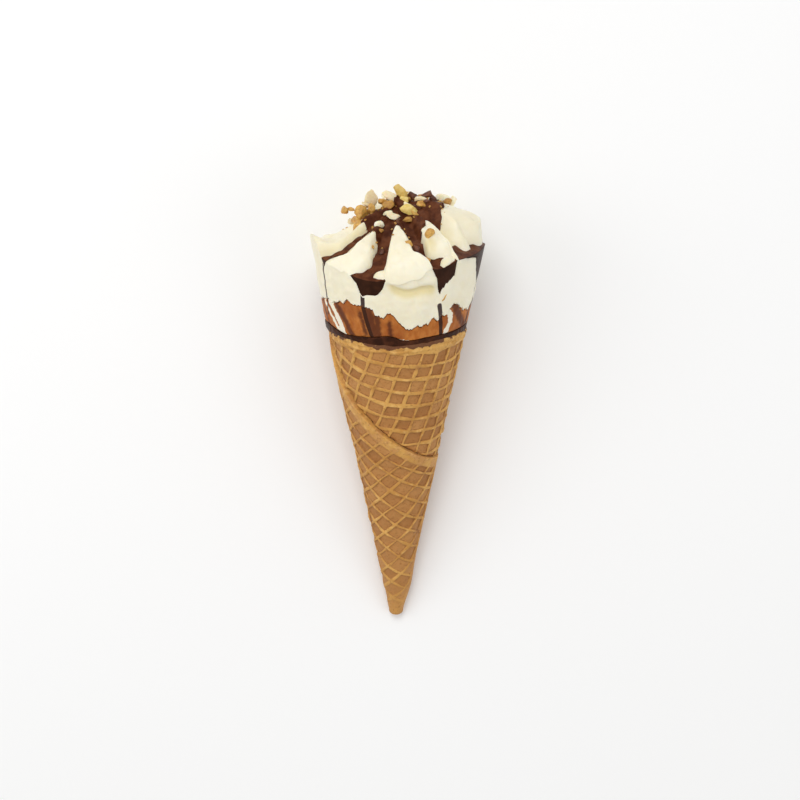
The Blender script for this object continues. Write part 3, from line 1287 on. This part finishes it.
def make_cream():
    """From the crown over the lobes, down the sleeve, in behind the layers, to the core."""
    azimuth = rosette_azimuths(0.42, 1.0)
    edge = edge_height(azimuth)
    # Over the lobes: the rings close up toward the sleeve
    angle = np.radians(np.linspace(0.6, 90.0, TOP_ROWS))[:, None]
    share = np.sin(angle)
    radius = share * cream_reach(azimuth)
    height = top_height(share, azimuth)
    full = lobe_share(share, azimuth)
    # The right lobe's side is held inside the sleeve
    held = smooth((azimuth - 62.0) / 4.0) * smooth((112.0 - azimuth) / 4.0)
    held_radius = sleeve_radius(height, azimuth) - 0.35 * smooth(sauce_level(azimuth) - edge)
    radius = np.where(held > 0.0, np.minimum(radius, held_radius), radius)
    rows = [(radius, height)]
    # Down the sleeve to the cocoa band, with the fold under the front lobe
    low = band_top(azimuth) + GAP
    fall = np.linspace(0.0, 1.0, SIDE_ROWS + 1)[1:, None]
    start = edge - rounding(azimuth)
    down = start + (low - start) * fall
    press = crease(down, azimuth)
    rows.append((sleeve_radius(down, azimuth) - press, down))
    # In behind the layers, and down inside the wafer
    recess = LAYER_SINK + LAYER_THICKNESS + GAP
    under = np.array((0.0, 0.35, 0.7, 1.0))[:, None]
    tuck_height = low + (0.4 - low) * under
    rows.append((sleeve_radius(tuck_height, azimuth) - recess, tuck_height))
    inner = np.array((-0.4, -0.45 * RIM_Z, CORE_Z - RIM_Z))[:, None] + 0.0 * azimuth
    rows.append(((RIM_Z + inner) * SLOPE - WALL - GAP, inner))
    radius = np.concatenate([r for r, _ in rows])
    height = np.concatenate([h for _, h in rows])
    turn = np.repeat(azimuth, len(radius), axis=0)
    turn[:TOP_ROWS] += bend(share, azimuth)
    points = polar(radius, turn, RIM_Z + height)
    # Slight swells: upward on the lobes, outward on the sleeve, and none in the recess
    row = np.arange(len(radius))
    sleeve_end = TOP_ROWS + SIDE_ROWS
    shown = (row < sleeve_end) * 1.0
    swell = 0.20 * ripple(points, 7.0, 51) + 0.09 * ripple(points, 2.8, 52)
    out = polar(1.0, turn, 0.0)
    lift = np.zeros_like(out)
    lift[..., 2] = 1.0
    way = np.where((row < TOP_ROWS)[:, None, None], lift, out)
    fade = (shown * smooth((sleeve_end - 3 - row) / 10.0))[:, None]
    press_fade = np.where(row[:, None] < TOP_ROWS, 1.0, 0.45)
    calm = np.ones_like(radius)
    calm[:TOP_ROWS] = (0.2 + 0.8 * full) * smooth((radius[:TOP_ROWS] - 9.0) / 6.0)
    points = points + way * (swell * fade * press_fade * calm)[..., None]
    # Deeper yellow in the grooves, on the narrow lobe's inner part, and in the fold
    deep = np.zeros_like(radius)
    shaded = np.exp(-((turn[:TOP_ROWS] - 29.0) / 7.0) ** 2 - ((share - 0.78) / 0.11) ** 2)
    deep[:TOP_ROWS] = np.maximum(0.6 * (1.0 - full) * smooth(share / 0.25), 0.75 * shaded)
    deep[TOP_ROWS:sleeve_end] = press
    crown = polar(0.0, 0.0, RIM_Z + SAUCE_CENTRE - 0.4)[None, :]
    core = polar(0.0, 0.0, CORE_Z)[None, :]
    return points, crown, core, height, turn, deep


print("the cream has", rosette_azimuths(0.42, 1.0).size, "columns")

# %% [markdown]
# ## Closing the ends
# The rings leave a small hole at the crown and one at the core. A fan of triangles to a
# point in the middle closes each, so that the surface is shut. Then the cream is coloured.

# %% Closed ends, and the cream's finish


def cap_grid(name, points, crown, core, paints):
    """Close a ring grid with a fan to a pole at each end."""
    rows, cols = points.shape[:2]
    faces = grid_faces(rows, cols, closed=True, flip=True).tolist()
    here = np.arange(cols)
    after = (here + 1) % cols
    top = rows * cols
    fan = np.stack((np.full(cols, top), here, after), axis=-1)
    faces += fan.tolist()
    last = (rows - 1) * cols
    fan = np.stack((last + after, last + here, np.full(cols, top + 1)), axis=-1)
    faces += fan.tolist()
    everything = np.concatenate((points.reshape(-1, 3), crown, core))
    full = {}
    for paint, values in paints.items():
        full[paint] = np.concatenate((values.ravel(), [values[0, 0], values[-1, 0]]))
    return put_mesh(name, lay_down(everything), faces, full, 0.00001)


def cream_finish():
    """Vanilla: warm white on the folds, deeper yellow where light has gone through more of
    it, with fine air bubbles. Thin runs of sauce are drawn on it by their distance."""
    kit = Finish("vanilla", 0.5)
    broad = kit.noise(9.0, 3.0)
    base = kit.blend(kit.step(broad, 0.35, 0.7), srgb(246, 239, 215), srgb(240, 231, 202))
    deep = kit.math("MULTIPLY", kit.step(kit.paint("deep"), 0.15, 1.0), 0.65)
    base = kit.blend(deep, base, srgb(226, 208, 140))
    run = kit.step(kit.paint("run"), -0.10, 0.10)
    base = kit.blend(run, base, srgb(58, 34, 27))
    kit.colour(base)
    kit.rough(broad, 0.42, 0.58)
    first = kit.bump(kit.noise(2.2, 4.0), 0.14)
    kit.bump(kit.noise(0.5, 3.0), 0.03, first)
    kit.under_skin(0.35, 2.2, (1.0, 0.85, 0.55))
    return kit.mat


VANILLA = cream_finish()
points, crown, core, height, turn, deep = make_cream()
runs = np.where(height < 30.0, inside_lines(turn, height, SAUCE_RUNS), NO_RUN)
runs[:TOP_ROWS] = NO_RUN
cream = cap_grid("vanilla_rosette", points, crown, core, {"deep": deep, "run": runs})
finish_piece(cream, VANILLA, "vanilla", "ice_cream")

# %% [markdown]
# ## Chocolate sauce
# The sauce is one core that lies under the lobes and comes out only in the grooves. Its top
# falls from the crown to the sleeve, where it ends in a flat face as smooth as the sleeve.
# It is softer and glossier than the ring, and lighter on top, where a frost has settled.

# %% Sauce surface
# Height above the rim, in mm, at which the sauce's face ends behind the cream
SAUCE_BASE = 16.2
SAUCE_TOP_ROWS = 84
SAUCE_FACE_ROWS = 39


def make_sauce():
    """Height falls from the crown to the pool; then the sleeve face, and a hidden base."""
    azimuth = rosette_azimuths(0.5, 1.2)
    level = sauce_level(azimuth)
    share = np.linspace(0.01, 1.0, SAUCE_TOP_ROWS)[:, None]
    reach, sink = sauce_reach(azimuth)
    radius = share * reach
    height = sauce_height(share, azimuth)
    turned = azimuth + bend(share, azimuth)
    points = polar(radius, turned, RIM_Z + height)
    wave = 0.28 * ripple(points, 6.5, 61) + 0.12 * ripple(points, 2.6, 62)
    height = height + wave * smooth((1.0 - share) / 0.12)
    fall = np.linspace(0.0, 1.0, SAUCE_FACE_ROWS + 1)[1:, None]
    down = level + (SAUCE_BASE - level) * fall
    behind = 0.9 * smooth((edge_height(azimuth) - down) / 0.35)
    face = sleeve_radius(down, azimuth) - sink - behind - crease(down, azimuth)
    rows_radius = np.concatenate((radius, face, sleeve_radius(SAUCE_BASE, azimuth) - 4.0))
    rows_height = np.concatenate((height, down, np.full_like(azimuth, SAUCE_BASE - 0.5)))
    rows_turn = np.repeat(azimuth, len(rows_radius), axis=0)
    rows_turn[:SAUCE_TOP_ROWS] = turned
    points = polar(rows_radius, rows_turn, RIM_Z + rows_height)
    crown = polar(0.0, 0.0, RIM_Z + SAUCE_CENTRE)[None, :]
    core = polar(0.0, 0.0, RIM_Z + SAUCE_BASE - 1.0)[None, :]
    above = np.arange(len(rows_radius)) < SAUCE_TOP_ROWS - 1
    on_top = np.repeat(above[:, None], azimuth.shape[1], axis=1)
    return points, crown, core, {"top": on_top.astype(float)}


def sauce_finish():
    """Glossy dark brown on the face at the sleeve, and a lighter, clouded brown on top."""
    kit = Finish("chocolate_sauce", 0.35)
    cloud = kit.noise(3.0, 4.0)
    face = kit.blend(kit.step(cloud, 0.35, 0.7), srgb(46, 23, 11), srgb(60, 32, 17))
    upper = kit.blend(kit.step(cloud, 0.35, 0.7), srgb(74, 36, 20), srgb(108, 62, 38))
    kit.colour(kit.blend(kit.step(kit.paint("top"), 0.3, 0.7), face, upper))
    kit.shader.inputs["Specular IOR Level"].default_value = 0.2
    kit.shader.inputs["IOR"].default_value = 1.3
    kit.rough(cloud, 0.32, 0.5)
    first = kit.bump(kit.noise(1.5, 4.0), 0.12)
    kit.bump(kit.noise(0.4, 3.0), 0.02, first)
    return kit.mat


SAUCE = sauce_finish()
sauce_points, sauce_crown, sauce_core, sauce_paints = make_sauce()
sauce = cap_grid("chocolate_sauce", sauce_points, sauce_crown, sauce_core, sauce_paints)
finish_piece(sauce, SAUCE, "dark_chocolate", "ice_cream")

# %% [markdown]
# ## Chopped nuts
# A chopped nut has a few flat cuts with soft corners. Seen from its middle, each flat cut
# limits how far the surface reaches, so the radius in a direction is a soft smallest of the
# cuts' distances. Nuts of a kind are one mesh. They lie where the solids have them, half
# sunk in the cream, with crumbs scattered between.

# %% One nut as a surface of two angles
# The power that joins the cuts: a higher one makes sharper corners
CUT_POWER = 13.0
# Radius in mm of the rosette, to tell how far out a nut lies
ROSETTE_RADIUS = 29.0


def chip(draw, length, width, thickness, rows, cols, cuts=9):
    """Radius = (sum of (cut normal . way / distance) to a high power) to the power of minus
    one over it, over the cuts that face that way; then stretched to its three sizes."""
    lat = np.linspace(0.0, math.pi, rows)[:, None]
    lon = np.linspace(0.0, 2.0 * math.pi, cols, endpoint=False)[None, :]
    way = np.stack((np.sin(lat) * np.cos(lon), np.sin(lat) * np.sin(lon),
                    np.cos(lat) + 0.0 * lon), axis=-1)
    normals = draw.normal(size=(cuts + 6, 3))
    normals[:6] = ((1, 0, 0), (-1, 0, 0), (0, 1, 0), (0, -1, 0), (0, 0, 1), (0, 0, -1))
    normals /= np.linalg.norm(normals, axis=1)[:, None]
    distance = np.concatenate((np.ones(6), draw.uniform(0.52, 0.92, cuts)))
    facing = np.maximum(way @ normals.T / distance, 1e-3)
    radius = np.sum(facing ** CUT_POWER, axis=-1) ** (-1.0 / CUT_POWER)
    rough = 0.035 * ripple(way, 0.9, int(draw.integers(1, 9999)))
    radius = radius * (1.0 + rough + 0.02 * ripple(way, 0.35, int(draw.integers(1, 9999))))
    radius = np.minimum(radius, 1.25) * 0.47
    return way * radius[..., None] * np.array((length, width, thickness))


def spin(turn, tilt, lean):
    """Turn about the upright axis, then tilt in the plane that the picture shows, then lean
    toward the viewer, all in degrees."""
    around = Matrix.Rotation(math.radians(turn), 3, "Z")
    sideways = Matrix.Rotation(math.radians(tilt), 3, "Y")
    forward = Matrix.Rotation(math.radians(lean), 3, "X")
    return np.array(forward @ sideways @ around)


def crown_height(radius, azimuth):
    """Height of the rosette, cream or sauce, at a radius."""
    azimuth = unbend(radius / ROSETTE_RADIUS, azimuth)
    share = np.minimum(1.0, radius / cream_reach(azimuth))
    spread = np.minimum(1.0, radius / sauce_reach(azimuth)[0])
    return np.maximum(top_height(share, azimuth), sauce_height(spread, azimuth))


def nut_mesh(name, pieces, seed, rows=19, cols=28):
    """One mesh of many chips. Each piece is a centre in mm with its height from the rim,
    length, width, thickness, turn and tilt; its shade is one random number per chip."""
    draw = np.random.default_rng(seed)
    grids = []
    shades = []
    for x, y, height, length, width, thickness, turn, tilt in pieces:
        body = chip(draw, length, width, thickness, rows, cols)
        body = body @ spin(turn, tilt, draw.uniform(-15.0, 15.0)).T
        grids.append(body + np.array((x, y, RIM_Z + height)))
        shades.append(np.full(rows * cols, draw.uniform(0.0, 1.0)))
    faces = []
    for k in range(len(grids)):
        faces += grid_faces(rows, cols, k * rows * cols, closed=True, flip=True).tolist()
    points = lay_down(np.array(grids).reshape(-1, 3))
    return put_mesh(name, points, faces, {"shade": np.array(shades).ravel()}, 0.000002, 38.0)


def on_crown(azimuth, radius, lift):
    """Centre of a piece that lies on the rosette at an azimuth and radius."""
    x, y, _ = polar(radius, azimuth, 0.0)
    return x, y, float(crown_height(np.array(radius), np.array(azimuth))) + lift


sample = chip(np.random.default_rng(1), 5.0, 4.0, 3.0, 19, 28).reshape(-1, 3)
print("a chip of 5 by 4 by 3 mm measures", np.round(sample.max(axis=0) - sample.min(axis=0), 1))

# %% [markdown]
# ## Where the nuts lie
# The nuts that the picture shows are listed one by one and by kind: golden, pale, yellow,
# and coated in chocolate. Behind the crown a seeded scatter carries the heap on, and small
# crumbs are strewn between. Each kind is one mesh with a material of its own.

# %% The nuts that stand out, by kind
# x, y and height of the centre; length, width, thickness; turn and tilt in degrees
GOLDEN = [
    (-17.1, 0.0, 41.6, 3.0, 2.8, 2.9, 10, 10), (-15.2, -0.2, 41.9, 2.8, 1.8, 1.8, 0, 8),
    (-12.2, -1.0, 41.2, 5.4, 4.6, 5.0, 20, -8), (-12.2, -6.0, 36.8, 5.0, 4.6, 5.8, -15, 10),
    (-12.4, -1.5, 38.3, 4.4, 4.0, 3.0, 50, 0), (-10.5, 3.0, 38.7, 4.6, 4.2, 4.0, 80, 5),
    (-8.1, -1.0, 42.2, 3.0, 3.2, 4.0, 5, 12), (-2.9, 0.0, 43.0, 4.8, 3.8, 3.6, 5, -14),
    (-4.9, 2.0, 44.0, 3.2, 3.2, 2.8, 30, 0), (6.4, -4.0, 41.2, 5.0, 2.6, 2.0, 0, 30),
    (8.8, -2.0, 44.0, 4.4, 3.2, 2.6, 0, 5), (17.3, 4.0, 43.0, 3.5, 3.2, 3.5, 15, 0),
    (3.5, -7.0, 39.7, 4.2, 2.6, 2.2, 10, -5), (-5.5, -11.0, 36.8, 3.0, 2.4, 2.0, 0, 15),
    (-7.6, -13.0, 36.2, 2.0, 1.8, 2.6, 0, 0), (11.0, -17.5, 37.4, 4.2, 3.0, 4.0, 20, 5),
    (4.0, -22.0, 35.3, 2.4, 2.0, 3.2, 0, -35), (-7.7, -18.7, 33.2, 1.2, 1.2, 2.0, 0, 0),
    (9.7, -24.5, 30.6, 3.4, 2.0, 1.6, 0, 22), (15.9, -22.3, 16.9, 1.3, 1.0, 3.4, 35, 18),
]
PALE = [
    (-8.3, 3.0, 45.3, 4.8, 2.0, 8.2, 10, 8), (-1.4, 2.0, 45.6, 7.2, 2.0, 5.0, -5, 12),
    (-0.8, -5.0, 40.6, 6.6, 3.2, 2.8, 10, 8), (-2.9, -4.0, 41.5, 3.6, 1.6, 1.4, 0, -10),
    (4.2, -1.8, 43.4, 4.4, 3.0, 2.6, 0, 30), (8.4, 0.0, 45.4, 4.6, 3.6, 3.0, 0, 8),
    (15.2, 5.0, 44.0, 6.0, 2.2, 4.2, 5, 10), (19.2, 5.0, 43.4, 2.8, 2.0, 4.6, 0, 12),
    (-5.9, -10.0, 38.4, 4.2, 1.6, 3.4, 15, -20), (-10.5, 1.0, 43.4, 3.2, 2.4, 1.4, 0, 10),
]
YELLOW = [
    (1.8, 1.0, 47.1, 4.6, 1.8, 7.2, -8, -32), (2.6, 0.0, 44.8, 3.2, 2.4, 3.4, 0, 10),
    (5.0, -3.6, 42.3, 8.4, 3.4, 4.2, 0, 32),
]
COATED = [
    (5.4, 1.0, 46.4, 3.8, 2.8, 3.2, 0, 20), (10.4, 1.0, 46.7, 4.4, 2.6, 2.4, 10, -10),
    (12.3, 0.6, 45.3, 3.0, 2.6, 4.2, 0, 10), (7.1, -3.0, 43.1, 3.8, 2.4, 2.0, 0, 25),
    (10.3, -1.8, 45.0, 2.6, 2.0, 2.2, 40, 0), (15.4, 2.0, 42.3, 2.8, 2.0, 1.4, 0, 12),
    (0.7, -8.0, 39.6, 1.6, 1.6, 2.2, 0, 10), (6.8, -19.4, 32.6, 3.2, 2.8, 2.8, 0, 15),
    (-4.7, -17.5, 31.3, 2.6, 2.4, 2.6, 20, 0), (3.4, 3.0, 46.0, 2.4, 2.0, 2.0, 0, 0),
    (13.6, 3.0, 43.8, 2.4, 2.0, 2.4, 30, 0),
]

print(len(GOLDEN) + len(PALE) + len(YELLOW) + len(COATED), "nuts are placed one by one")

# %% [markdown]
# ## Scatter and finish of the nuts
# The seed makes the scatter come out the same each time. Roasted nuts are golden and darker
# at their cuts, blanched ones are pale, and some are coated in chocolate.

# %% Scatter, finish and pieces of the nuts


def scattered_nuts():
    """A seeded scatter behind the crown: thick near the centre, thin outside."""
    draw = random.Random(7)
    found = []
    for _ in range(26):
        size = draw.uniform(3.4, 4.8)
        azimuth = draw.uniform(105.0, 275.0)
        radius = 3.0 + 13.0 * draw.random() ** 0.8
        place = on_crown(azimuth, radius, 0.4)
        shape = (1.15 * size, 0.92 * size, 0.8 * size)
        found.append((*place, *shape, draw.uniform(0.0, 360.0), draw.uniform(-35.0, 35.0)))
    return found


def crumbs(count, seed):
    """Specks of chopped nut over the crown and in the grooves."""
    draw = random.Random(seed)
    found = []
    for _ in range(count):
        size = draw.uniform(0.5, 1.4)
        place = on_crown(draw.uniform(-180.0, 180.0), 18.0 * draw.random() ** 0.7, 0.15)
        found.append((*place, size, 0.8 * size, 0.7 * size, draw.uniform(0.0, 360.0), 0.0))
    return found


def nut_finish(name, light, mid, dark, glow):
    """Two tones in clouds; flecks, and a darkening by the chip's own shade, in a third."""
    kit = Finish(name, 0.5)
    cloud = kit.noise(1.6, 4.0)
    tone = kit.blend(kit.step(cloud, 0.35, 0.68), light, mid)
    shade = kit.math("MULTIPLY", kit.step(kit.paint("shade"), 0.2, 1.0), 0.5)
    tone = kit.blend(shade, tone, dark)
    fleck = kit.math("MULTIPLY", kit.step(kit.noise(1.0, 4.0), 0.52, 0.66), 0.5)
    tone = kit.blend(fleck, tone, dark)
    kit.colour(tone)
    kit.rough(cloud, 0.38, 0.62)
    first = kit.bump(kit.noise(0.9, 4.0), 0.22)
    kit.bump(kit.noise(0.3, 3.0), 0.06, first)
    kit.under_skin(glow, 1.2, (1.0, 0.6, 0.25))
    return kit.mat


GOLDEN_NUT = nut_finish(
    "nut_golden", srgb(220, 176, 92), srgb(198, 146, 66), srgb(158, 104, 42), 0.2)
PALE_NUT = nut_finish(
    "nut_pale", srgb(252, 246, 222), srgb(248, 236, 200), srgb(232, 206, 152), 0.25)
YELLOW_NUT = nut_finish(
    "nut_yellow", srgb(236, 211, 132), srgb(222, 190, 98), srgb(196, 154, 66), 0.2)
COATED_NUT = nut_finish(
    "nut_coated", srgb(84, 42, 24), srgb(122, 70, 42), srgb(58, 28, 16), 0.05)

mixed = scattered_nuts()
for name, pieces, mat, seed in (
        ("nuts_golden", GOLDEN + mixed[0::2], GOLDEN_NUT, 71),
        ("nuts_pale", PALE + mixed[1::4], PALE_NUT, 72),
        ("nuts_yellow", YELLOW, YELLOW_NUT, 76),
        ("nuts_coated", COATED + mixed[3::4], COATED_NUT, 73)):
    finish_piece(nut_mesh(name, pieces, seed), mat, "vanilla", "ice_cream")
finish_piece(nut_mesh("nut_crumbs", crumbs(90, 74), 75, 7, 9), GOLDEN_NUT, "vanilla", "ice_cream")
